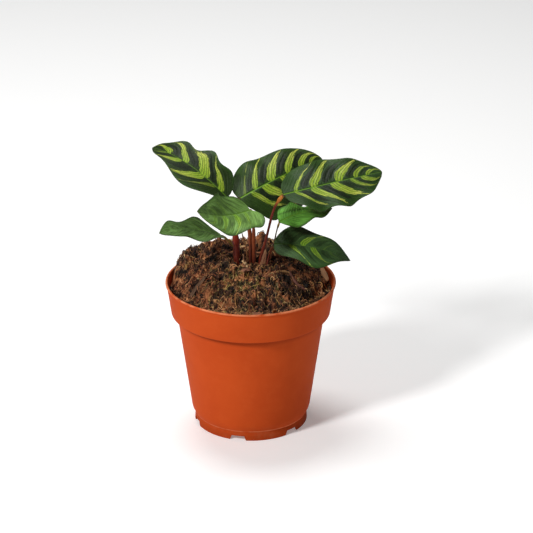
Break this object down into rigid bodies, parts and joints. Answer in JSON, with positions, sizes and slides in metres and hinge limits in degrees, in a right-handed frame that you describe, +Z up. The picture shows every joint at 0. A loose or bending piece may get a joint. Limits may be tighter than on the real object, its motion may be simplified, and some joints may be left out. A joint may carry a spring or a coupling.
{
  "type": "potted peacock plant",
  "caption": "Young peacock plant with patterned oval leaves on slender stalks, growing from a heap of peat in a tapered plastic nursery pot with a rim band and notched foot.",
  "frame": {"origin": "centre of the pot's underside, on the surface that the pot stands on", "axes": "+Z up, -Y the front that the camera looks at, +X to the right"},
  "size_m": [0.1462, 0.108, 0.178],
  "materials": {
    "pot_plastic": "terracotta-coloured moulded polypropylene, satin",
    "peat": null,
    "rhizome": "pale brown living rootstock, dull",
    "leaf_blade": null,
    "stalk": null,
    "dry_sheath": "papery tan dried leaf sheath",
    "bark": "split bark and wood chips, dull"
  },
  "bodies": {
    "root": {"pot": "pot_plastic", "soil": "peat", "rhizome": "rhizome", "leaf_upper_left": "leaf_blade", "leaf_centre_back": "leaf_blade", "leaf_right_front": "leaf_blade", "leaf_centre_front": "leaf_blade", "leaf_left_lower": "leaf_blade", "leaf_right_small": "leaf_blade", "leaf_right_lower": "leaf_blade", "petiole_upper_left": "stalk", "petiole_centre_back": "stalk", "petiole_right_front": "stalk", "petiole_centre_front": "stalk", "petiole_left_lower": "stalk", "petiole_right_small": "stalk", "petiole_right_lower": "stalk", "new_shoot": "stalk", "dry_sheath_front": "dry_sheath", "dry_sheath_right": "dry_sheath", "dry_sheath_left": "dry_sheath", "wood_chip_right": "bark", "wood_chip_back": "bark", "wood_chip_front": "bark", "wood_chip_left": "bark"}
  },
  "joints": []
}
